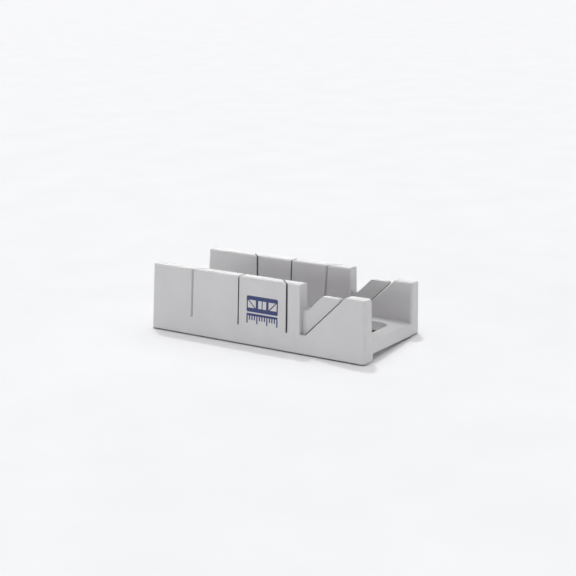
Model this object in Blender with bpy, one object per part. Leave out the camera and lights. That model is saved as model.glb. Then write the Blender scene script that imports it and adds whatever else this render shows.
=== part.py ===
"""Mitre box: two slotted fences joined by a deck, with a lip that hooks over a bench edge.

Units are metres. X runs along the box, from the plain left end to the bevel end on the right.
Y runs from the front fence, which carries the lip, to the rear fence. Z is up. The origin is the
middle of the plane of the underside.

The real box is one moulding. Each object here is one region of it, divided where the saw slots
and the roots of the fences already divide it, so that every saw slot is a real gap between solids.
"""

import math

import bmesh
import bpy
from mathutils import Vector

# Overall size
LENGTH = 0.305
WIDTH = 0.1394
FENCE_TOP = 0.0728
END_TOP = 0.0652
LIP_DROP = 0.0090
DECK_TOP = 0.0161

# Fences
FENCE_THICKNESS = 0.0170  # at the top of a fence
LIP_THICKNESS = 0.0204
TALL_END_X = 0.0639  # end of the tall part of a fence, at its top
END_DRAFT = 0.026  # slope of the end faces: run per unit of height
OUTER_DRAFT = 0.016
INNER_DRAFT = 0.030

# Saw slots. The three upright slots cross above one point of the centre line.
SLOT_CROSSING_X = -0.0217
SLOT_WIDTH = 0.0017
SLOT_FLOOR = 0.0134
BEVEL_SLOT_LEFT = 0.0564  # X minus Z on the guide's side of the 45 degree slot
BEVEL_SLOT_RIGHT = 0.0593  # X minus Z on the end block's side

# Bevel guide: a thin panel in the middle of the fence's thickness
GUIDE_THICKNESS = 0.0078
GUIDE_MIDDLE_Y = 0.0595
GUIDE_TOP = 0.0617
GUIDE_LEDGE = 0.0425
GUIDE_RAMP = 0.0296  # X minus Z along the 45 degree ramp

# Deck
WINDOW_LEFT = 0.0870
WINDOW_RIGHT = 0.1328
WINDOW_HALF_WIDTH = 0.0336
WINDOW_RADIUS = 0.0165
WINDOW_STEPS = 12
RELIEF_DEPTH = 0.0048
RELIEF_LENGTH = 0.2800  # of all the bays under the deck together
RELIEF_HALF_WIDTH = 0.0430
RELIEF_RADIUS = 0.0040
RELIEF_BAYS = 4
RELIEF_RIB = 0.0060

# Edge radii
END_CORNER_RADIUS = 0.0045
TALL_CORNER_RADIUS = 0.0030
TOP_RADIUS = 0.0024
ARC_STEPS = 5
SHARP_EDGE = math.radians(25)

GAP = 0.0003  # kept between neighbouring regions
CUTTER_MARGIN = 0.0050
CORNER_REACH = 0.0045  # how far a fence's corner edge can be from the corner, allowing for draft
SAME_PLACE = 1e-5

PLASTIC_COLOUR = (0.56, 0.56, 0.565, 1.0)
PLASTIC_ROUGHNESS = 0.48

SIDES = {"front": -1, "rear": 1}


def clear_scene():
    for obj in list(bpy.data.objects):
        bpy.data.objects.remove(obj, do_unlink=True)


def plastic(name):
    """Light grey moulded plastic, one material for each region."""
    material = bpy.data.materials.new(name + "_plastic")
    material.use_nodes = True
    shader = material.node_tree.nodes["Principled BSDF"]
    shader.inputs["Base Color"].default_value = PLASTIC_COLOUR
    shader.inputs["Roughness"].default_value = PLASTIC_ROUGHNESS
    shader.inputs["Metallic"].default_value = 0.0
    return material


def add_object(bm, name, parent, place=(0, 0, 0)):
    """Turns a bmesh in world coordinates into an object whose origin is at place."""
    bmesh.ops.recalc_face_normals(bm, faces=bm.faces[:])
    bmesh.ops.translate(bm, verts=bm.verts[:], vec=-Vector(place))
    mesh = bpy.data.meshes.new(name)
    bm.to_mesh(mesh)
    bm.free()
    mesh.shade_smooth()
    mesh.set_sharp_from_angle(angle=SHARP_EDGE)
    obj = bpy.data.objects.new(name, mesh)
    bpy.context.scene.collection.objects.link(obj)
    obj.parent = parent
    obj.location = place
    return obj


# Each face of a fence lies in a plane, given as (point, outward normal).


def level_top(height):
    return Vector((0, 0, height)), Vector((0, 0, 1))


def level_bottom(height):
    return Vector((0, 0, height)), Vector((0, 0, -1))


def outer_face(side):
    return Vector((0, side * WIDTH / 2, -LIP_DROP)), Vector((0, side, OUTER_DRAFT))


def inner_y_at_top():
    lean = OUTER_DRAFT * (FENCE_TOP + LIP_DROP)
    return WIDTH / 2 - lean - FENCE_THICKNESS


def inner_face(side):
    return Vector((0, side * inner_y_at_top(), FENCE_TOP)), Vector((0, -side, INNER_DRAFT))


def deck_side(side):
    """The deck's side, which follows the fence's inner face at a gap."""
    point, normal = inner_face(side)
    return point - Vector((0, side * GAP, 0)), -normal


def box_end(direction):
    return Vector((direction * LENGTH / 2, 0, -LIP_DROP)), Vector((direction, 0, END_DRAFT))


def tall_end():
    return Vector((TALL_END_X, 0, FENCE_TOP)), Vector((1, 0, END_DRAFT))


def slot_face(slope, block_side):
    """One face of an upright slot that runs slope metres along X for each metre along Y.

    block_side is -1 for the block to the slot's left and 1 for the block to its right.
    """
    across = Vector((1, -slope, 0)).normalized()
    crossing = Vector((SLOT_CROSSING_X, 0, 0))
    return crossing + block_side * across * SLOT_WIDTH / 2, -block_side * across


def bevel_face(offset, facing):
    """A 45 degree face where X minus Z is offset, facing 1 (down and right) or -1 (up and left)."""
    return Vector((offset, 0, 0)), facing * Vector((1, 0, -1)).normalized()


def solid_between(planes):
    """The convex solid on the inner side of every plane."""
    bm = bmesh.new()
    bmesh.ops.create_cube(bm, size=2 * LENGTH)
    for point, normal in planes:
        bmesh.ops.bisect_plane(
            bm,
            geom=bm.verts[:] + bm.edges[:] + bm.faces[:],
            dist=SAME_PLACE / 100,
            plane_co=point,
            plane_no=normal,
            clear_outer=True,
        )
        rim = [edge for edge in bm.edges if edge.is_boundary]
        bmesh.ops.edgeloop_fill(bm, edges=rim)
    return bm


def extruded(points, step):
    """The solid that an outline of points sweeps when it moves by step."""
    bm = bmesh.new()
    face = bm.faces.new([bm.verts.new(point) for point in points])
    grown = bmesh.ops.extrude_face_region(bm, geom=[face])["geom"]
    moved = [item for item in grown if isinstance(item, bmesh.types.BMVert)]
    bmesh.ops.translate(bm, verts=moved, vec=step)
    return bm


def upright_edges(bm, x, side):
    """The edges that stand on a fence's outer corner nearest to x."""
    found = []
    for edge in bm.edges:
        a, b = (vertex.co for vertex in edge.verts)
        middle = (a + b) / 2
        upright = abs(a.z - b.z) > math.hypot(a.x - b.x, a.y - b.y)
        near_end = abs(middle.x - x) < CORNER_REACH
        outside = side * middle.y > WIDTH / 2 - CORNER_REACH
        if upright and near_end and outside:
            found.append(edge)
    return found


def top_edges(bm, height):
    """The edges round the level face at this height."""
    bm.normal_update()
    rim = set()
    for face in bm.faces:
        level = all(abs(vertex.co.z - height) < SAME_PLACE for vertex in face.verts)
        if level and face.normal.z > 0:
            rim.update(face.edges)
    return list(rim)


def beside_bevel_slot(edge):
    """Whether an edge lies in the 45 degree face of an end block, which stays flat."""
    return all(abs(v.co.x - v.co.z - BEVEL_SLOT_RIGHT) < SAME_PLACE for v in edge.verts)


def round_edges(bm, edges, radius):
    bmesh.ops.bevel(
        bm,
        geom=edges,
        offset=radius,
        offset_type="OFFSET",
        segments=ARC_STEPS,
        profile=0.5,
        affect="EDGES",
        clamp_overlap=False,
    )


def make_fence_blocks(word, side, parent):
    """The four tall blocks of a fence, between its end, the three upright slots and the notch."""
    left, middle, right = -side, 0, side
    spans = [
        (box_end(-1), slot_face(left, -1)),
        (slot_face(left, 1), slot_face(middle, -1)),
        (slot_face(middle, 1), slot_face(right, -1)),
        (slot_face(right, 1), tall_end()),
    ]
    faces = [
        outer_face(side),
        inner_face(side),
        level_top(FENCE_TOP),
        level_bottom(SLOT_FLOOR + GAP),
    ]
    for number, ends in enumerate(spans, start=1):
        bm = solid_between(faces + list(ends))
        if number == 1:
            round_edges(bm, upright_edges(bm, -LENGTH / 2, side), END_CORNER_RADIUS)
        if number == 4:
            round_edges(bm, upright_edges(bm, TALL_END_X, side), TALL_CORNER_RADIUS)
        round_edges(bm, top_edges(bm, FENCE_TOP), TOP_RADIUS)
        middle_x = sum(vertex.co.x for vertex in bm.verts) / len(bm.verts)
        place = (middle_x, side * GUIDE_MIDDLE_Y, SLOT_FLOOR)
        add_object(bm, f"{word}_fence_block_{number}", parent, place)


def make_end_block(word, side, parent):
    """The low block between the 45 degree slot and the right end."""
    planes = [
        outer_face(side),
        inner_face(side),
        level_top(END_TOP),
        level_bottom(SLOT_FLOOR + GAP),
        bevel_face(BEVEL_SLOT_RIGHT, -1),
        box_end(1),
    ]
    bm = solid_between(planes)
    round_edges(bm, upright_edges(bm, LENGTH / 2, side), END_CORNER_RADIUS)
    rim = [edge for edge in top_edges(bm, END_TOP) if not beside_bevel_slot(edge)]
    round_edges(bm, rim, TOP_RADIUS)
    add_object(bm, f"{word}_end_block", parent, (LENGTH / 2, side * GUIDE_MIDDLE_Y, SLOT_FLOOR))


def make_bevel_guide(word, side, parent):
    """The thin panel beside the tall part: a low ledge, then a ramp parallel to the 45 degree slot."""
    foot = SLOT_FLOOR + GAP
    wall_at_foot = TALL_END_X + END_DRAFT * (FENCE_TOP - foot) + GAP
    wall_at_ledge = TALL_END_X + END_DRAFT * (FENCE_TOP - GUIDE_LEDGE) + GAP
    outline = [
        (wall_at_foot, foot),
        (BEVEL_SLOT_LEFT + foot, foot),
        (BEVEL_SLOT_LEFT + GUIDE_TOP, GUIDE_TOP),
        (GUIDE_RAMP + GUIDE_TOP, GUIDE_TOP),
        (GUIDE_RAMP + GUIDE_LEDGE, GUIDE_LEDGE),
        (wall_at_ledge, GUIDE_LEDGE),
    ]
    near_y = side * GUIDE_MIDDLE_Y - GUIDE_THICKNESS / 2
    bm = extruded([(x, near_y, z) for x, z in outline], (0, GUIDE_THICKNESS, 0))
    place = (wall_at_foot, side * GUIDE_MIDDLE_Y, SLOT_FLOOR)
    add_object(bm, f"{word}_bevel_guide", parent, place)


def round_end_corners(bm, side):
    corners = upright_edges(bm, -LENGTH / 2, side) + upright_edges(bm, LENGTH / 2, side)
    round_edges(bm, corners, END_CORNER_RADIUS)


def make_rail(word, side, parent):
    """The unbroken foot of a fence, below the slots."""
    planes = [
        outer_face(side),
        inner_face(side),
        level_top(SLOT_FLOOR),
        level_bottom(0),
        box_end(-1),
        box_end(1),
    ]
    bm = solid_between(planes)
    round_end_corners(bm, side)
    add_object(bm, f"{word}_rail", parent, (0, side * GUIDE_MIDDLE_Y, 0))


def make_bench_lip(parent):
    """The part of the front fence that hangs below the deck and hooks over a bench edge."""
    side = SIDES["front"]
    back = side * (WIDTH / 2 - LIP_THICKNESS)
    planes = [
        outer_face(side),
        (Vector((0, back, 0)), Vector((0, -side, -INNER_DRAFT))),
        level_top(-GAP),
        level_bottom(-LIP_DROP),
        box_end(-1),
        box_end(1),
    ]
    bm = solid_between(planes)
    round_end_corners(bm, side)
    add_object(bm, "bench_lip", parent, (0, side * GUIDE_MIDDLE_Y, -LIP_DROP))


def rounded_rectangle(left, right, half_width, radius, steps):
    """Outline points of a rectangle along X and Y with round corners of this many steps each."""
    centres = [
        (right - radius, half_width - radius, 0),
        (left + radius, half_width - radius, 90),
        (left + radius, radius - half_width, 180),
        (right - radius, radius - half_width, 270),
    ]
    points = []
    for x, y, start in centres:
        for step in range(steps + 1):
            angle = math.radians(start + 90 * step / steps)
            points.append((x + radius * math.cos(angle), y + radius * math.sin(angle)))
    return points


def prism(outline, low, high):
    """The upright solid between two heights that has this plan outline."""
    return extruded([(x, y, low) for x, y in outline], (0, 0, high - low))


def cut(target, bm, name):
    """Takes a cutter away from the target with a Boolean modifier."""
    cutter = add_object(bm, name, target.parent)
    cutter.hide_render = True
    cutter.display_type = "WIRE"
    modifier = target.modifiers.new(name, "BOOLEAN")
    modifier.operation = "DIFFERENCE"
    modifier.solver = "EXACT"
    modifier.object = cutter


def crossing_grooves():
    """Plan outline of the three upright slots where they cross on the deck, as one six-armed star."""
    arms = [math.radians(angle) for angle in (45, 90, 135, 225, 270, 315)]
    half = SLOT_WIDTH / 2
    points = []
    for arm, following in zip(arms, arms[1:] + [arms[0] + 2 * math.pi]):
        along = Vector((math.cos(arm), math.sin(arm)))
        across = Vector((-along.y, along.x))
        points.append(along * WIDTH - across * half)
        points.append(along * WIDTH + across * half)
        bisector = (arm + following) / 2
        reach = half / math.sin((following - arm) / 2)
        points.append(Vector((math.cos(bisector), math.sin(bisector))) * reach)
    return [(point.x + SLOT_CROSSING_X, point.y) for point in points]


def facing_out(side):
    return Vector((0, side * WIDTH / 2, 0)), Vector((0, side, 0))


def bevel_groove():
    planes = [
        level_top(DECK_TOP + CUTTER_MARGIN),
        level_bottom(SLOT_FLOOR),
        bevel_face(BEVEL_SLOT_LEFT, -1),
        bevel_face(BEVEL_SLOT_RIGHT, 1),
        facing_out(-1),
        facing_out(1),
    ]
    return solid_between(planes)


def relief_bays():
    """Where each shallow bay under the deck starts and ends along X, with a rib between bays."""
    pitch = (RELIEF_LENGTH + RELIEF_RIB) / RELIEF_BAYS
    starts = [pitch * bay - RELIEF_LENGTH / 2 for bay in range(RELIEF_BAYS)]
    return [(start, start + pitch - RELIEF_RIB) for start in starts]


def make_deck(parent):
    """The floor between the fences, with saw grooves, a window and shallow bays underneath."""
    planes = [
        deck_side(-1),
        deck_side(1),
        level_top(DECK_TOP),
        level_bottom(0),
        box_end(-1),
        box_end(1),
    ]
    deck = add_object(solid_between(planes), "deck", parent)
    cut(deck, prism(crossing_grooves(), SLOT_FLOOR, DECK_TOP + CUTTER_MARGIN), "groove_cutter")
    cut(deck, bevel_groove(), "bevel_groove_cutter")
    window = rounded_rectangle(
        WINDOW_LEFT, WINDOW_RIGHT, WINDOW_HALF_WIDTH, WINDOW_RADIUS, WINDOW_STEPS
    )
    cut(deck, prism(window, -CUTTER_MARGIN, DECK_TOP + CUTTER_MARGIN), "window_cutter")
    for number, (left, right) in enumerate(relief_bays(), start=1):
        bay = rounded_rectangle(left, right, RELIEF_HALF_WIDTH, RELIEF_RADIUS, ARC_STEPS)
        cut(deck, prism(bay, -CUTTER_MARGIN, RELIEF_DEPTH), f"relief_cutter_{number}")


def main():
    clear_scene()
    box = bpy.data.objects.new("mitre_box", None)
    bpy.context.scene.collection.objects.link(box)
    make_deck(box)
    for word, side in SIDES.items():
        make_rail(word, side, box)
        make_fence_blocks(word, side, box)
        make_bevel_guide(word, side, box)
        make_end_block(word, side, box)
    make_bench_lip(box)
    for obj in box.children:
        if not obj.hide_render:
            obj.data.materials.append(plastic(obj.name))


main()
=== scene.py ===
"""Looks of the mitre box: its rounded edges and roots, its grained plastic and its printed mark.

Every visual piece takes its planes from the CAD node that it replaces, so the two always agree.
Units are metres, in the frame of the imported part: X along the box, Y to the rear, Z up.
"""

import math

import bmesh
import bpy
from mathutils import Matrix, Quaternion, Vector


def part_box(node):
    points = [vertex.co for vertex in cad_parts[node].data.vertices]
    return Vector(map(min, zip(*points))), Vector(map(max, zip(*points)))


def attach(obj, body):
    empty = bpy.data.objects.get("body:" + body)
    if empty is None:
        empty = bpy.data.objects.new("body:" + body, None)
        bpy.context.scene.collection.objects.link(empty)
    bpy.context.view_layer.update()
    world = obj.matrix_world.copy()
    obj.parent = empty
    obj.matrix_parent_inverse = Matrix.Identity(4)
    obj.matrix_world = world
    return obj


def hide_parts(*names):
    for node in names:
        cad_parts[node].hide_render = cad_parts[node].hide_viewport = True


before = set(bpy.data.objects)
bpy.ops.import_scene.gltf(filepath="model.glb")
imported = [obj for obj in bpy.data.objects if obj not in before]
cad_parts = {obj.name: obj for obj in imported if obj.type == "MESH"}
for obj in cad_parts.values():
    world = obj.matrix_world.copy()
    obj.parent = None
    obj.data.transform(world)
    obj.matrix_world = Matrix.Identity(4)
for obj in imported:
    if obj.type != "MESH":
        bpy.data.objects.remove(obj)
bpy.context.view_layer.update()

# Radii of the moulding's edges
TOP_RADIUS = 0.0027
END_TOP_RADIUS = 0.0013
BASE_RADIUS = 0.0007
REAR_BASE_RADIUS = 0.0020
BOX_CORNER_RADIUS = 0.0045
BOX_INNER_RADIUS = 0.0038
NOTCH_CORNER_RADIUS = 0.0015
NOTCH_INNER_RADIUS = 0.0015
BEVEL_CORNER_RADIUS = 0.0006
BEVEL_INNER_RADIUS = 0.0024
SLOT_RADIUS = 0.0005
SLOT_TOP_RADIUS = 0.0013
BEVEL_TOP_RADIUS = 0.0009
ROOT_RADIUS = 0.0007
DECK_END_RADIUS = 0.0012
WINDOW_RIM_RADIUS = 0.0007
GUIDE_RIM_RADIUS = 0.0007
GUIDE_PROFILE_RADIUS = 0.0022
SHARP_RADIUS = 0.00005
ARC_STEPS = 6
TOP_STEPS = 8
RIM_SEGMENTS = 4
DECK_END_SEGMENTS = 5

GAP = 0.0003  # what the CAD keeps between neighbouring nodes
SUNK = 0.00002  # how far a fence's foot stays under the deck's surface
LAP = 0.0015  # how far a guide runs on inside its neighbours
WALL_BAND = 0.0015  # how near its low end a guide's outline belongs to the tall block's wall
END_BAND = 0.002  # how near the deck's ends an edge counts as the end's own
RIM_MARGIN = 0.003  # how far from the deck's borders the rims of its openings lie
WINDOW_START = 0.080  # the window's rim lies beyond this X, the saw grooves' rims don't
SHARP_EDGE = math.radians(28)
FOLDED_EDGE = math.radians(60)
NORMAL_WEIGHT = 100

# How CAD faces are told apart
LEAST_FACE = 1.2e-4  # square metres, below which a CAD face is part of a rounded edge
SAME_FACE_COSINE = 0.998
SAME_FACE_OFFSET = 0.00006
FACING = 0.9  # least part of a normal along an axis for its face to look that way
BEVEL_RISE = 0.5  # a bevel slot's face looks up by more than this
SLOT_RISE = 0.005  # a saw slot's face looks up or down by less than this, an end face by more
ON_PLANE = 0.00002
SAME_HEIGHT = 0.00001
SAME_LEVEL = 0.000001
WELD = 0.000001
GUIDE_FLATNESS = 0.01
DECK_FLATNESS = 0.005

SIDES = {"front": -1, "rear": 1}
BLOCKS = (1, 2, 3, 4)  # of each fence, from the left
NOTCH_BLOCK = 4
TOP_RADII = {
    "outer": TOP_RADIUS,
    "inner": TOP_RADIUS,
    "end": END_TOP_RADIUS,
    "slot": SLOT_TOP_RADIUS,
    "bevel": BEVEL_TOP_RADIUS,
}

DECK_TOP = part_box("deck")[1].z
SLOT_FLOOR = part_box("front_rail")[1].z
LIP_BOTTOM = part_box("bench_lip")[0].z

# The printed mark, on the third block of the front fence: a panel of cut signs above a row of ticks
MARK_BLOCK = "front_fence_block_3"
MARK_X = 0.0125
MARK_Z = 0.0344
MARK_WIDTH = 0.0440
MARK_HEIGHT = 0.0336
PANEL_HEIGHT = 0.0196
PANEL_RADIUS = 0.0018
SIGN_WIDTH = 0.0112
SIGN_HEIGHT = 0.0096
SIGN_KERF = 0.0014
SIGN_SLOPES = (-1, 0, 1)  # how the sawn line leans across each sign
TICKS = 13
TICK_WIDTH = 0.0018
TICK_LENGTHS = (0.0122, 0.0080, 0.0080, 0.0080)
TICK_BAR = 0.0028
TICK_BAR_RADIUS = TICK_BAR / 3
INK_RISE = 0.00003
CLEAR_RISE = 0.00005

# Finishes. A noise is (cells to a metre, detail), a spread is where its ramp starts and ends, and a
# bump is (strength, distance).
PLASTIC_DARK = (0.575, 0.565, 0.571, 1)
PLASTIC_LIGHT = (0.605, 0.595, 0.601, 1)
PLASTIC_RUBBED = (0.645, 0.636, 0.641, 1)
# Painted shade: where ambient occlusion finds the surface hemmed in, as deep in the saw slots, the
# plastic's colour is darkened towards this near black
PAINTED_CREVICE_SHADE = (0.05, 0.05, 0.054, 1)
CREVICE_REACH = 0.0045
WEAR_RADIUS = 0.0006
CREVICE_DARK = 0.12
CREVICE_CLEAR = 0.50
CREVICE_SAMPLES = 8
WEAR_SAMPLES = 6
WEAR_COSINE = 0.90  # how far the surface turns for an edge to be fully rubbed
PLASTIC_CLOUDS = (28.0, 3.0)
PLASTIC_SPREAD = (0.30, 0.72)
PLASTIC_GLOSS = (900.0, 2.0)
PLASTIC_ROUGHNESS = (0.30, 0.40)
PLASTIC_SPECULAR = 0.5
PLASTIC_SINK = (45.0, 1.0)
PLASTIC_SINK_BUMP = (0.12, 0.0004)
GRAIN = (2600.0, 4.0)
PLASTIC_GRAIN_BUMP = (0.10, 0.00006)
INK_DARK = (0.012, 0.025, 0.118, 1)
INK_LIGHT = (0.022, 0.040, 0.165, 1)
INK_SPECKS = (2400.0, 3.0)
INK_SPREAD = (0.36, 0.66)
INK_ROUGHNESS = (0.34, 0.46)
INK_GRAIN_BUMP = (0.08, 0.00004)
FLOOR_DARK = (0.89, 0.89, 0.895, 1)
FLOOR_LIGHT = (0.91, 0.91, 0.915, 1)
FLOOR_CLOUDS = (9.0, 2.0)
FLOOR_SPREAD = (0.3, 0.7)
FLOOR_ROUGHNESS = 0.85
FLOOR_SPECULAR = 0.1
FLOOR_SIZE = 12.0
FLOOR_CELLS = 8

CAMERA_PLACE = Vector((0.80414, -1.28933, 0.38488))
CAMERA_AIM = Vector((0.05853, -0.08577, 0.07176))
CAMERA_ROLL = math.radians(0.953)
CAMERA_LENS = 78.886
CAMERA_SENSOR = 36.0

# The studio: low glowing panels round the box, a soft ceiling and a key light. A panel is its
# middle azimuth from +X towards +Y and its half width, both in degrees, the sine of its top's
# elevation, and its glow.
PANELS = (
    (-140, 40, 0.17, 3.0),
    (-70, 30, 0.17, 1.44),
    (7, 20, 0.17, 5.2),
    (122, 37, 0.20, 6.1),
)
GLOW_COLOUR = (0.985, 0.99, 1.0, 1)
CEILING_GLOW = 1.18
CEILING_EDGE = 0.62  # the sine of the elevation from which the ceiling glows
GLOW_BLUR = 0.03
KEY_STRENGTH = 0.81
KEY_WIDTH = math.radians(3)
KEY_ELEVATION = math.radians(70)
KEY_AZIMUTH = math.radians(138)  # from +X towards +Y


# ---------------------------------------------------------------- materials


def new_material(name):
    material = bpy.data.materials.new(name)
    material.use_nodes = True
    tree = material.node_tree
    return material, tree, tree.nodes["Principled BSDF"]


def add_node(tree, kind, **settings):
    node = tree.nodes.new(kind)
    for name, value in settings.items():
        if name in node.inputs:
            node.inputs[name].default_value = value
        else:
            setattr(node, name, value)
    return node


def noise(tree, place, cells):
    """Noise in the part's own coordinates."""
    scale, detail = cells
    node = add_node(tree, "ShaderNodeTexNoise", Scale=scale, Detail=detail)
    tree.links.new(place, node.inputs["Vector"])
    return node.outputs["Fac"]


def bump(tree, height, strength_and_distance):
    strength, distance = strength_and_distance
    node = add_node(tree, "ShaderNodeBump", Strength=strength, Distance=distance)
    tree.links.new(height, node.inputs["Height"])
    return node


def ramp(tree, value, spread, dark, light):
    """Colour from dark to light as value crosses the spread."""
    low, high = spread
    node = add_node(tree, "ShaderNodeValToRGB")
    node.color_ramp.elements[0].position = low
    node.color_ramp.elements[0].color = dark
    node.color_ramp.elements[1].position = high
    node.color_ramp.elements[1].color = light
    tree.links.new(value, node.inputs["Fac"])
    return node.outputs["Color"]


def map_range(tree, value, low, high):
    node = add_node(tree, "ShaderNodeMapRange")
    node.inputs["To Min"].default_value = low
    node.inputs["To Max"].default_value = high
    tree.links.new(value, node.inputs["Value"])
    return node.outputs["Result"]


def combined(tree, operation, first, second):
    node = add_node(tree, "ShaderNodeMath", operation=operation)
    tree.links.new(first, node.inputs[0])
    tree.links.new(second, node.inputs[1])
    return node.outputs["Value"]


def edge_mask(tree, radius):
    """Rises to 1 on edges, where the surface turns within this radius."""
    bevel = add_node(tree, "ShaderNodeBevel", Radius=radius, samples=WEAR_SAMPLES)
    geometry = add_node(tree, "ShaderNodeNewGeometry")
    across = add_node(tree, "ShaderNodeVectorMath", operation="DOT_PRODUCT")
    tree.links.new(bevel.outputs["Normal"], across.inputs[0])
    tree.links.new(geometry.outputs["Normal"], across.inputs[1])
    mask = add_node(tree, "ShaderNodeMapRange")
    mask.inputs["From Min"].default_value = 1.0
    mask.inputs["From Max"].default_value = WEAR_COSINE
    tree.links.new(across.outputs["Value"], mask.inputs["Value"])
    return mask.outputs["Result"]


def clear_of_joins(tree, place):
    """0 at the heights where one piece stands on another and the plastic runs on, 1 elsewhere."""
    split = add_node(tree, "ShaderNodeSeparateXYZ")
    tree.links.new(place, split.inputs["Vector"])
    away = []
    for height in (0.0, SLOT_FLOOR):
        near = add_node(tree, "ShaderNodeMath", operation="COMPARE")
        near.inputs[1].default_value = height
        near.inputs[2].default_value = 2 * WEAR_RADIUS
        tree.links.new(split.outputs["Z"], near.inputs[0])
        away.append(map_range(tree, near.outputs["Value"], 1.0, 0.0))
    return combined(tree, "MULTIPLY", *away)


def painted_crevice_shade(tree):
    """Painted shade: falls from 1 on open faces to 0 deep in a saw slot, darkening the colour where
    little light reaches.
    """
    settings = {"Distance": CREVICE_REACH, "samples": CREVICE_SAMPLES}
    reach = add_node(tree, "ShaderNodeAmbientOcclusion", **settings)
    shade = add_node(tree, "ShaderNodeMapRange", interpolation_type="SMOOTHSTEP")
    shade.inputs["From Min"].default_value = CREVICE_DARK
    shade.inputs["From Max"].default_value = CREVICE_CLEAR
    tree.links.new(reach.outputs["AO"], shade.inputs["Value"])
    return shade.outputs["Result"]


def mixed(tree, factor, low, high):
    """Colour low where the factor is 0, high where it is 1, each a socket or a constant."""
    mix = add_node(tree, "ShaderNodeMix", data_type="RGBA")
    tree.links.new(factor, mix.inputs["Factor"])
    for name, colour in (("A", low), ("B", high)):
        if isinstance(colour, tuple):
            mix.inputs[name].default_value = colour
        else:
            tree.links.new(colour, mix.inputs[name])
    return mix.outputs["Result"]


def moulded_plastic():
    """Light grey plastic with a fine grain, faint flow clouding, paler rubbed edges and painted
    shade deep in its saw slots.
    """
    material, tree, shader = new_material("moulded_plastic")
    place = add_node(tree, "ShaderNodeTexCoord").outputs["Object"]
    clouds = noise(tree, place, PLASTIC_CLOUDS)
    colour = ramp(tree, clouds, PLASTIC_SPREAD, PLASTIC_DARK, PLASTIC_LIGHT)
    wear = combined(tree, "MULTIPLY", edge_mask(tree, WEAR_RADIUS), clear_of_joins(tree, place))
    rubbed = mixed(tree, wear, colour, PLASTIC_RUBBED)
    # Painted shade: the colour is darkened towards near black deep in the saw slots and narrow gaps
    shaded = mixed(tree, painted_crevice_shade(tree), PAINTED_CREVICE_SHADE, rubbed)
    tree.links.new(shaded, shader.inputs["Base Color"])
    roughness = map_range(tree, noise(tree, place, PLASTIC_GLOSS), *PLASTIC_ROUGHNESS)
    tree.links.new(roughness, shader.inputs["Roughness"])
    grain = bump(tree, noise(tree, place, GRAIN), PLASTIC_GRAIN_BUMP)
    sink = bump(tree, noise(tree, place, PLASTIC_SINK), PLASTIC_SINK_BUMP)
    tree.links.new(sink.outputs["Normal"], grain.inputs["Normal"])
    tree.links.new(grain.outputs["Normal"], shader.inputs["Normal"])
    shader.inputs["Specular IOR Level"].default_value = PLASTIC_SPECULAR
    return material


def printing_ink():
    """Navy pad-printed ink, slightly rougher than the plastic and thinner in specks."""
    material, tree, shader = new_material("printing_ink")
    place = add_node(tree, "ShaderNodeTexCoord").outputs["Object"]
    specks = noise(tree, place, INK_SPECKS)
    tree.links.new(ramp(tree, specks, INK_SPREAD, INK_DARK, INK_LIGHT), shader.inputs["Base Color"])
    tree.links.new(map_range(tree, specks, *INK_ROUGHNESS), shader.inputs["Roughness"])
    grain = bump(tree, noise(tree, place, GRAIN), INK_GRAIN_BUMP)
    tree.links.new(grain.outputs["Normal"], shader.inputs["Normal"])
    return material


def floor_paper():
    material, tree, shader = new_material("floor_paper")
    place = add_node(tree, "ShaderNodeTexCoord").outputs["Object"]
    colour = ramp(tree, noise(tree, place, FLOOR_CLOUDS), FLOOR_SPREAD, FLOOR_DARK, FLOOR_LIGHT)
    tree.links.new(colour, shader.inputs["Base Color"])
    shader.inputs["Roughness"].default_value = FLOOR_ROUGHNESS
    shader.inputs["Specular IOR Level"].default_value = FLOOR_SPECULAR
    return material


# ---------------------------------------------------------------- meshes


def finish_piece(bm, name, material, nodes=()):
    """Makes the piece from a bmesh in world coordinates, smooth over its rounded edges."""
    bmesh.ops.recalc_face_normals(bm, faces=bm.faces[:])
    mesh = bpy.data.meshes.new(name)
    bm.to_mesh(mesh)
    bm.free()
    mesh.shade_smooth()
    mesh.set_sharp_from_angle(angle=SHARP_EDGE)
    mesh.materials.append(material)
    piece = bpy.data.objects.new(name, mesh)
    bpy.context.scene.collection.objects.link(piece)
    weighted = piece.modifiers.new("flat_faces_stay_flat", "WEIGHTED_NORMAL")
    weighted.keep_sharp = True
    weighted.weight = NORMAL_WEIGHT
    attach(piece, "root")
    if nodes:
        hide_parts(*nodes)


def flat_faces(node):
    """The large flat faces of a CAD node, each as (point, outward normal)."""
    found = []
    for polygon in sorted(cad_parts[node].data.polygons, key=lambda p: -p.area):
        point, normal = Vector(polygon.center), Vector(polygon.normal)
        for face in found:
            same_way = face["normal"].dot(normal) > SAME_FACE_COSINE
            if same_way and abs(face["normal"].dot(point - face["point"])) < SAME_FACE_OFFSET:
                face["area"] += polygon.area
                break
        else:
            found.append({"point": point, "normal": normal, "area": polygon.area})
    return [(face["point"], face["normal"]) for face in found if face["area"] > LEAST_FACE]


def kind_of(normal, side):
    """What one upright face of a fence is, from the way it faces."""
    if abs(normal.y) > FACING:
        return "outer" if normal.y * side > 0 else "inner"
    if normal.z > BEVEL_RISE:
        return "bevel"
    return "slot" if abs(normal.z) < SLOT_RISE else "end"


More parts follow.
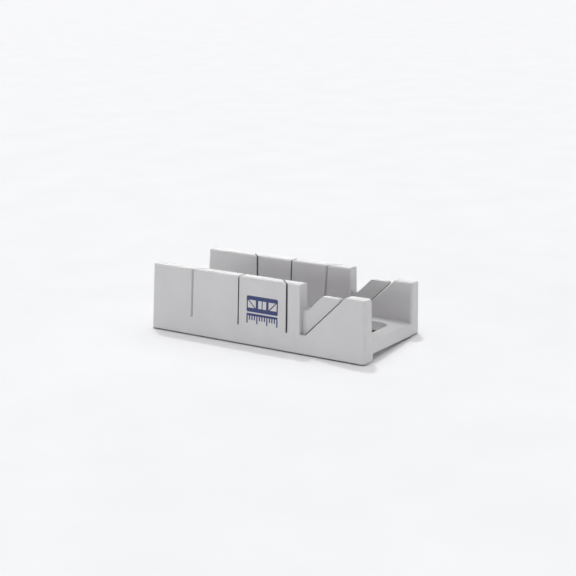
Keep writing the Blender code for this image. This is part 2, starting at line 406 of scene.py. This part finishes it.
class Side:
    """One upright face of a block: a plane, and how its edges are rounded."""

    def __init__(self, point, normal, side):
        level = Vector((normal.x, normal.y))
        self.direction = level.normalized()
        self.lean = math.atan2(normal.z, level.length)
        self.offset = normal.dot(point) / level.length
        self.kind = kind_of(normal, side)
        self.angle = math.atan2(self.direction.y, self.direction.x)

    def reach(self, z):
        """How far out the plane is at this height."""
        return self.offset - math.tan(self.lean) * z

    def rounded_reach(self, z, edge, radius, upward):
        """The same with one edge rounded: the upper edge if upward is 1, the lower if it is -1."""
        centre_z = edge - upward * radius
        rise = upward * (z - centre_z)
        if radius == 0 or rise <= radius * math.sin(upward * self.lean):
            return self.reach(z)
        centre = self.reach(centre_z) - radius / math.cos(self.lean)
        return centre + math.sqrt(max(radius * radius - rise * rise, 0))


def meeting(a, b, reach_a, reach_b):
    """Where two sides meet at the given reaches."""
    cross = a.direction.x * b.direction.y - a.direction.y * b.direction.x
    x = (reach_a * b.direction.y - reach_b * a.direction.y) / cross
    y = (a.direction.x * reach_b - b.direction.x * reach_a) / cross
    return Vector((x, y))


def corner_arc(a, b, reach_a, reach_b, radius):
    centre = meeting(a, b, reach_a - radius, reach_b - radius)
    turn = (b.angle - a.angle) % (2 * math.pi)
    angles = [a.angle + turn * step / ARC_STEPS for step in range(ARC_STEPS + 1)]
    return [centre + radius * Vector((math.cos(angle), math.sin(angle))) for angle in angles]


def ring(sides, reaches, radii):
    """One level outline with rounded corners. radii holds the radius after each side."""
    points = []
    for number, side in enumerate(sides):
        after = (number + 1) % len(sides)
        points += corner_arc(side, sides[after], reaches[number], reaches[after], radii[number])
    return points


def loft(levels):
    """The closed solid through a list of (height, outline), all with the same number of points."""
    bm = bmesh.new()
    rings = [[bm.verts.new((p.x, p.y, z)) for p in points] for z, points in levels]
    for lower, upper in zip(rings, rings[1:]):
        for number in range(len(lower)):
            following = (number + 1) % len(lower)
            bm.faces.new([lower[number], lower[following], upper[following], upper[number]])
    bm.faces.new(rings[0][::-1])
    bm.faces.new(rings[-1])
    return bm


def soften(bm, edges, radius, segments):
    bmesh.ops.bevel(
        bm,
        geom=edges,
        offset=radius,
        segments=segments,
        profile=0.5,
        affect="EDGES",
        clamp_overlap=True,
    )


def extruded(bm, corners, along):
    """Adds the flat face through these corners and extrudes it along a vector."""
    face = bm.faces.new([bm.verts.new(corner) for corner in corners])
    grown = bmesh.ops.extrude_face_region(bm, geom=[face])["geom"]
    moved = [item for item in grown if isinstance(item, bmesh.types.BMVert)]
    bmesh.ops.translate(bm, verts=moved, vec=along)


def plain_mesh_of(node, flatness):
    """The CAD node as a bmesh, with each of its flat faces in one piece."""
    bm = bmesh.new()
    bm.from_mesh(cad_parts[node].data)
    bmesh.ops.remove_doubles(bm, verts=bm.verts[:], dist=WELD)
    bmesh.ops.dissolve_limit(bm, angle_limit=flatness, verts=bm.verts[:], edges=bm.edges[:])
    return bm


def arc_heights(edge, radius, upward):
    """Heights along a rounded edge, from its lower end to its upper end."""
    turns = [math.pi / 2 * step / TOP_STEPS for step in range(TOP_STEPS + 1)]
    heights = [edge - upward * radius * (1 - math.sin(turn)) for turn in turns]
    return heights if upward > 0 else heights[::-1]


# ---------------------------------------------------------------- the fences


def upright_sides(node, side):
    """A block's upright faces in order round it, as seen from above."""
    faces = [face for face in flat_faces(node) if abs(face[1].z) < FACING]
    return sorted((Side(point, normal, side) for point, normal in faces), key=lambda s: s.angle)


def corner_radius(a, b, at_notch):
    """Radius of the upright edge between two sides of a fence."""
    kinds = {a.kind, b.kind}
    if "slot" in kinds:
        return SLOT_RADIUS
    if "bevel" in kinds:
        return BEVEL_CORNER_RADIUS if "outer" in kinds else BEVEL_INNER_RADIUS
    if "outer" in kinds:
        return NOTCH_CORNER_RADIUS if at_notch else BOX_CORNER_RADIUS
    return NOTCH_INNER_RADIUS if at_notch else BOX_INNER_RADIUS


def root_spread(z):
    """How far the hollow root between fence and deck spreads at this height."""
    rise = z - (DECK_TOP - SUNK)
    if rise < 0 or rise >= ROOT_RADIUS:
        return 0.0
    return ROOT_RADIUS - math.sqrt(ROOT_RADIUS**2 - (ROOT_RADIUS - rise) ** 2)


def fence_block(node, side, material):
    """A block of a fence: drafted faces, rounded top and corners, and a hollow root on the deck."""
    sides = upright_sides(node, side)
    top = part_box(node)[1].z
    at_notch = node.endswith(f"_{NOTCH_BLOCK}")
    following = sides[1:] + sides[:1]
    plain = [corner_radius(a, b, at_notch) for a, b in zip(sides, following)]
    inner = [{"inner", "end"} == {a.kind, b.kind} for a, b in zip(sides, following)]

    def outline(z, above_deck):
        reaches, insets = [], []
        for face in sides:
            rounded = face.rounded_reach(z, top, TOP_RADII[face.kind], 1)
            insets.append(face.reach(z) - rounded)
            spread = root_spread(z) if face.kind == "inner" and above_deck else 0.0
            reaches.append(rounded + spread)
        radii = []
        for number, radius in enumerate(plain):
            inset = max(insets[number], insets[(number + 1) % len(insets)])
            spread = root_spread(z) if inner[number] else 0.0
            radii.append(max(radius + spread - inset, SHARP_RADIUS))
            if inner[number] and not above_deck:
                radii[-1] = SHARP_RADIUS
        return ring(sides, reaches, radii)

    foot = DECK_TOP - SUNK
    turns = [math.pi / 2 * step / ARC_STEPS for step in range(ARC_STEPS + 1)]
    heights = [foot + ROOT_RADIUS * (1 - math.cos(turn)) for turn in turns]
    heights += sorted({z for radius in TOP_RADII.values() for z in arc_heights(top, radius, 1)})
    levels = [(z, outline(z, False)) for z in (SLOT_FLOOR, foot)]
    levels += [(z, outline(z, True)) for z in heights]
    finish_piece(loft(levels), node + "_moulding", material, [node])


def foot_of_fence(node, side, low, high, rounded_kinds, base_radius, inner_radius, material):
    """A rail or the lip: one long bar, rounded along the bottom on the sides of the given kinds."""
    sides = upright_sides(node, side)
    following = sides[1:] + sides[:1]

    def outline(z):
        reaches, insets = [], []
        for face in sides:
            radius = base_radius if face.kind in rounded_kinds else 0
            reaches.append(face.rounded_reach(z, low, radius, -1))
            insets.append(face.reach(z) - reaches[-1])
        radii = []
        for number, (a, b) in enumerate(zip(sides, following)):
            radius = BOX_CORNER_RADIUS if "outer" in (a.kind, b.kind) else inner_radius
            inset = max(insets[number], insets[(number + 1) % len(insets)])
            radii.append(max(radius - inset, SHARP_RADIUS))
        return ring(sides, reaches, radii)

    heights = arc_heights(low, base_radius, -1) if rounded_kinds else [low]
    levels = [(z, outline(z)) for z in heights + [high]]
    finish_piece(loft(levels), node + "_moulding", material, [node])


# ---------------------------------------------------------------- the bevel guides


def profile_of(node):
    """A guide's outline as (x, z) points in order, from the CAD node's side face."""
    low_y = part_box(node)[0].y
    bm = plain_mesh_of(node, GUIDE_FLATNESS)
    face = max((f for f in bm.faces if f.normal.y < -FACING), key=lambda f: f.calc_area())
    points = [(v.co.x, v.co.z) for v in face.verts if abs(v.co.y - low_y) < SAME_HEIGHT]
    bm.free()
    return points


def rounded_profile(points, radius_at):
    """The outline with an arc at each corner, of the radius that radius_at gives for it."""
    rounded = []
    for number, here in enumerate(points):
        before, after = Vector(points[number - 1]), Vector(points[(number + 1) % len(points)])
        here = Vector(here)
        back, ahead = (before - here).normalized(), (after - here).normalized()
        half = math.acos(max(-1.0, min(1.0, back.dot(ahead)))) / 2
        radius = radius_at(here)
        if radius == 0:
            rounded.append(here)
            continue
        middle = here + (back + ahead).normalized() * radius / math.sin(half)
        start = here + back * radius / math.tan(half) - middle
        end = here + ahead * radius / math.tan(half) - middle
        sweep = start.angle_signed(end)
        for step in range(ARC_STEPS + 1):
            turn = -sweep * step / ARC_STEPS
            turned = Vector((
                start.x * math.cos(turn) - start.y * math.sin(turn),
                start.x * math.sin(turn) + start.y * math.cos(turn),
            ))
            rounded.append(middle + turned)
    return rounded


def bevel_guide(node, material):
    """The thin guide panel, which runs on into the tall block and the rail it is moulded with."""
    low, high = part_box(node)
    points = [Vector(point) for point in profile_of(node)]
    foot_z = min(point.y for point in points)
    wall_x = low.x + WALL_BAND

    def run_on(point):
        x = point.x - LAP if point.x < wall_x else point.x
        z = point.y - LAP if point.y < foot_z + ON_PLANE else point.y
        shift = LAP if point.y < foot_z + ON_PLANE and point.x > wall_x else 0.0
        return Vector((x - shift, z))

    def radius_at(point):
        hidden = point.x < wall_x or point.y < foot_z
        return 0.0 if hidden else GUIDE_PROFILE_RADIUS

    outline = rounded_profile([run_on(point) for point in points], radius_at)
    bm = bmesh.new()
    extruded(bm, [(p.x, low.y, p.y) for p in outline], Vector((0, high.y - low.y, 0)))
    rims = [edge for edge in bm.edges if len({round(v.co.y, 5) for v in edge.verts}) == 1]
    soften(bm, rims, GUIDE_RIM_RADIUS, RIM_SEGMENTS)
    finish_piece(bm, node + "_moulding", material, [node])


# ---------------------------------------------------------------- the deck


def deck_piece(material):
    """The deck, closed up to the fences, with soft edges at its ends and round its window."""
    bm = plain_mesh_of("deck", DECK_FLATNESS)
    deck_sides = [face for face in flat_faces("deck") if abs(face[1].y) > FACING]
    for vertex in bm.verts:
        for point, normal in deck_sides:
            if abs(normal.dot(vertex.co - point)) < ON_PLANE:
                vertex.co.y += math.copysign(GAP, normal.y)
    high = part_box("deck")[1]
    bm.normal_update()

    def is_level(edge):
        return abs(edge.verts[0].co.z - edge.verts[1].co.z) < SAME_LEVEL

    def folded(edge):
        return len(edge.link_faces) == 2 and edge.calc_face_angle(0) > FOLDED_EDGE

    def at_end(edge):
        return all(abs(v.co.x) > high.x - END_BAND for v in edge.verts)

    def at_window(edge):
        return all(
            WINDOW_START < v.co.x < high.x - RIM_MARGIN
            and abs(v.co.y) < high.y - RIM_MARGIN
            and abs(v.co.z - high.z) < SAME_HEIGHT
            for v in edge.verts
        )

    ends = [edge for edge in bm.edges if at_end(edge) and is_level(edge) and folded(edge)]
    soften(bm, ends, DECK_END_RADIUS, DECK_END_SEGMENTS)
    rims = [edge for edge in bm.edges if at_window(edge) and is_level(edge) and folded(edge)]
    soften(bm, rims, WINDOW_RIM_RADIUS, RIM_SEGMENTS)
    finish_piece(bm, "deck_moulding", material, ["deck"])


# ---------------------------------------------------------------- the printed mark


def ink_shape(bm, outline, rise):
    """One flat shape of the mark as a very thin solid. The outline is in the mark's own plane."""
    point, normal = next(face for face in flat_faces(MARK_BLOCK) if face[1].y < -FACING)
    across = Vector((1, 0, 0))
    up = normal.cross(across)
    centre = Vector((MARK_X, 0, MARK_Z))
    centre.y = point.y - normal.z * (MARK_Z - point.z) / normal.y
    base = [centre + across * x + up * z - normal * INK_RISE for x, z in outline]
    extruded(bm, base, normal * (INK_RISE + rise))


def round_rectangle(left, bottom, width, height, radius):
    points = []
    for x, z, start in (
        (left + width - radius, bottom + height - radius, 0),
        (left + radius, bottom + height - radius, 90),
        (left + radius, bottom + radius, 180),
        (left + width - radius, bottom + radius, 270),
    ):
        for step in range(ARC_STEPS + 1):
            angle = math.radians(start + 90 * step / ARC_STEPS)
            points.append((x + radius * math.cos(angle), z + radius * math.sin(angle)))
    return points


def cut_sign(bm, middle_x, middle_z, slope):
    """A board seen from above, sawn across along a line that leans by slope."""
    half_width, half_height = SIGN_WIDTH / 2, SIGN_HEIGHT / 2
    kerf = SIGN_KERF / 2 * math.hypot(1, slope)
    for direction in (-1, 1):
        outline = [
            (middle_x + direction * half_width, middle_z - half_height),
            (middle_x - slope * half_height + direction * kerf, middle_z - half_height),
            (middle_x + slope * half_height + direction * kerf, middle_z + half_height),
            (middle_x + direction * half_width, middle_z + half_height),
        ]
        ink_shape(bm, outline, CLEAR_RISE)


def printed_mark(ink, plastic):
    """The ink, and the plastic-coloured signs left clear in it."""
    left, bottom, top = -MARK_WIDTH / 2, -MARK_HEIGHT / 2, MARK_HEIGHT / 2
    panel_bottom = top - PANEL_HEIGHT
    bar_top = bottom + max(TICK_LENGTHS)
    bar_bottom = bar_top - TICK_BAR
    panel = round_rectangle(left, panel_bottom, MARK_WIDTH, PANEL_HEIGHT, PANEL_RADIUS)
    bar = round_rectangle(left, bar_bottom, MARK_WIDTH, TICK_BAR, TICK_BAR_RADIUS)
    bm = bmesh.new()
    ink_shape(bm, panel, INK_RISE)
    ink_shape(bm, bar, INK_RISE)
    pitch = (MARK_WIDTH - TICK_WIDTH) / (TICKS - 1)
    for number in range(TICKS):
        length = TICK_LENGTHS[number % len(TICK_LENGTHS)]
        x = left + number * pitch
        box = [
            (x, bar_top - length),
            (x + TICK_WIDTH, bar_top - length),
            (x + TICK_WIDTH, bar_bottom),
            (x, bar_bottom),
        ]
        ink_shape(bm, box, INK_RISE)
    finish_piece(bm, "printed_mark_ink", ink)

    bm = bmesh.new()
    sign_pitch = MARK_WIDTH / len(SIGN_SLOPES)
    for number, slope in enumerate(SIGN_SLOPES):
        cut_sign(bm, left + (number + 0.5) * sign_pitch, panel_bottom + PANEL_HEIGHT / 2, slope)
    finish_piece(bm, "printed_mark_signs", plastic)


# ---------------------------------------------------------------- stage


def make_floor():
    """A pale floor, tilted to touch the lip's rear edge and the rear rail's lower edge."""
    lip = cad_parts["bench_lip"].data.vertices
    lip_back = max(v.co.y for v in lip if v.co.z < LIP_BOTTOM + SAME_HEIGHT)
    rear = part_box("rear_rail")
    tilt = math.atan2(rear[0].z - LIP_BOTTOM, rear[1].y - lip_back)
    bm = bmesh.new()
    bmesh.ops.create_grid(bm, x_segments=FLOOR_CELLS, y_segments=FLOOR_CELLS, size=FLOOR_SIZE)
    mesh = bpy.data.meshes.new("floor")
    bm.to_mesh(mesh)
    bm.free()
    mesh.materials.append(floor_paper())
    floor = bpy.data.objects.new("floor", mesh)
    bpy.context.scene.collection.objects.link(floor)
    floor.location = (0, lip_back, LIP_BOTTOM)
    floor.rotation_euler = (tilt, 0, 0)


def make_camera():
    camera = bpy.data.objects.new("camera", bpy.data.cameras.new("camera"))
    bpy.context.scene.collection.objects.link(camera)
    camera.data.lens = CAMERA_LENS
    camera.data.sensor_width = CAMERA_SENSOR
    camera.location = CAMERA_PLACE
    camera.rotation_mode = "QUATERNION"
    facing = (CAMERA_AIM - CAMERA_PLACE).to_track_quat("-Z", "Y")
    camera.rotation_quaternion = facing @ Quaternion((0, 0, 1), CAMERA_ROLL)
    bpy.context.scene.camera = camera


def step_node(tree, value, edge, below, above):
    """A soft step from one level to another as value passes edge."""
    step = add_node(tree, "ShaderNodeMapRange", interpolation_type="SMOOTHSTEP")
    step.inputs["From Min"].default_value = edge - GLOW_BLUR
    step.inputs["From Max"].default_value = edge + GLOW_BLUR
    step.inputs["To Min"].default_value = below
    step.inputs["To Max"].default_value = above
    tree.links.new(value, step.inputs["Value"])
    return step.outputs["Result"]


def make_studio():
    """Low panels that light the box from its sides, a bright one beyond it, and a soft ceiling."""
    world = bpy.data.worlds.new("studio")
    world.use_nodes = True
    tree = world.node_tree
    place = add_node(tree, "ShaderNodeTexCoord").outputs["Generated"]
    split = add_node(tree, "ShaderNodeSeparateXYZ")
    tree.links.new(place, split.inputs["Vector"])
    glow = step_node(tree, split.outputs["Z"], CEILING_EDGE, 0.0, CEILING_GLOW)
    for azimuth, half_width, top, strength in PANELS:
        turn, edge = math.radians(azimuth), math.cos(math.radians(half_width))
        facing = add_node(tree, "ShaderNodeVectorMath", operation="DOT_PRODUCT")
        facing.inputs[1].default_value = (math.cos(turn), math.sin(turn), 0)
        tree.links.new(place, facing.inputs[0])
        across = step_node(tree, facing.outputs["Value"], edge, 0.0, strength)
        below_top = step_node(tree, split.outputs["Z"], top, 1.0, 0.0)
        glow = combined(tree, "ADD", glow, combined(tree, "MULTIPLY", across, below_top))
    tree.links.new(glow, tree.nodes["Background"].inputs["Strength"])
    tree.nodes["Background"].inputs["Color"].default_value = GLOW_COLOUR
    bpy.context.scene.world = world
    bpy.context.scene.view_settings.view_transform = "Standard"


def make_key_light():
    """The light that casts the box's shadow, from high up behind its left end."""
    light = bpy.data.objects.new("key_light", bpy.data.lights.new("key_light", "SUN"))
    light.data.energy = KEY_STRENGTH
    light.data.angle = KEY_WIDTH
    level, rise = math.cos(KEY_ELEVATION), math.sin(KEY_ELEVATION)
    source = Vector((level * math.cos(KEY_AZIMUTH), level * math.sin(KEY_AZIMUTH), rise))
    light.rotation_mode = "QUATERNION"
    light.rotation_quaternion = source.to_track_quat("Z", "Y")
    bpy.context.scene.collection.objects.link(light)


# ---------------------------------------------------------------- the whole box


def build_box():
    plastic = moulded_plastic()
    deck_piece(plastic)
    for word, side in SIDES.items():
        for number in BLOCKS:
            fence_block(f"{word}_fence_block_{number}", side, plastic)
        fence_block(f"{word}_end_block", side, plastic)
        bevel_guide(f"{word}_bevel_guide", plastic)
    front, rear, rear_low = SIDES["front"], SIDES["rear"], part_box("rear_rail")[0].z
    open_sides, all_sides = ("outer", "end"), ("outer", "inner", "end")
    base, sharp = REAR_BASE_RADIUS, SHARP_RADIUS
    foot_of_fence("rear_rail", rear, rear_low, SLOT_FLOOR, open_sides, base, sharp, plastic)
    foot_of_fence("front_rail", front, 0.0, SLOT_FLOOR, (), 0.0, sharp, plastic)
    foot_of_fence("bench_lip", front, LIP_BOTTOM, 0.0, all_sides, BASE_RADIUS, BASE_RADIUS, plastic)
    printed_mark(printing_ink(), plastic)


build_box()
make_floor()
make_studio()
make_key_light()
make_camera()
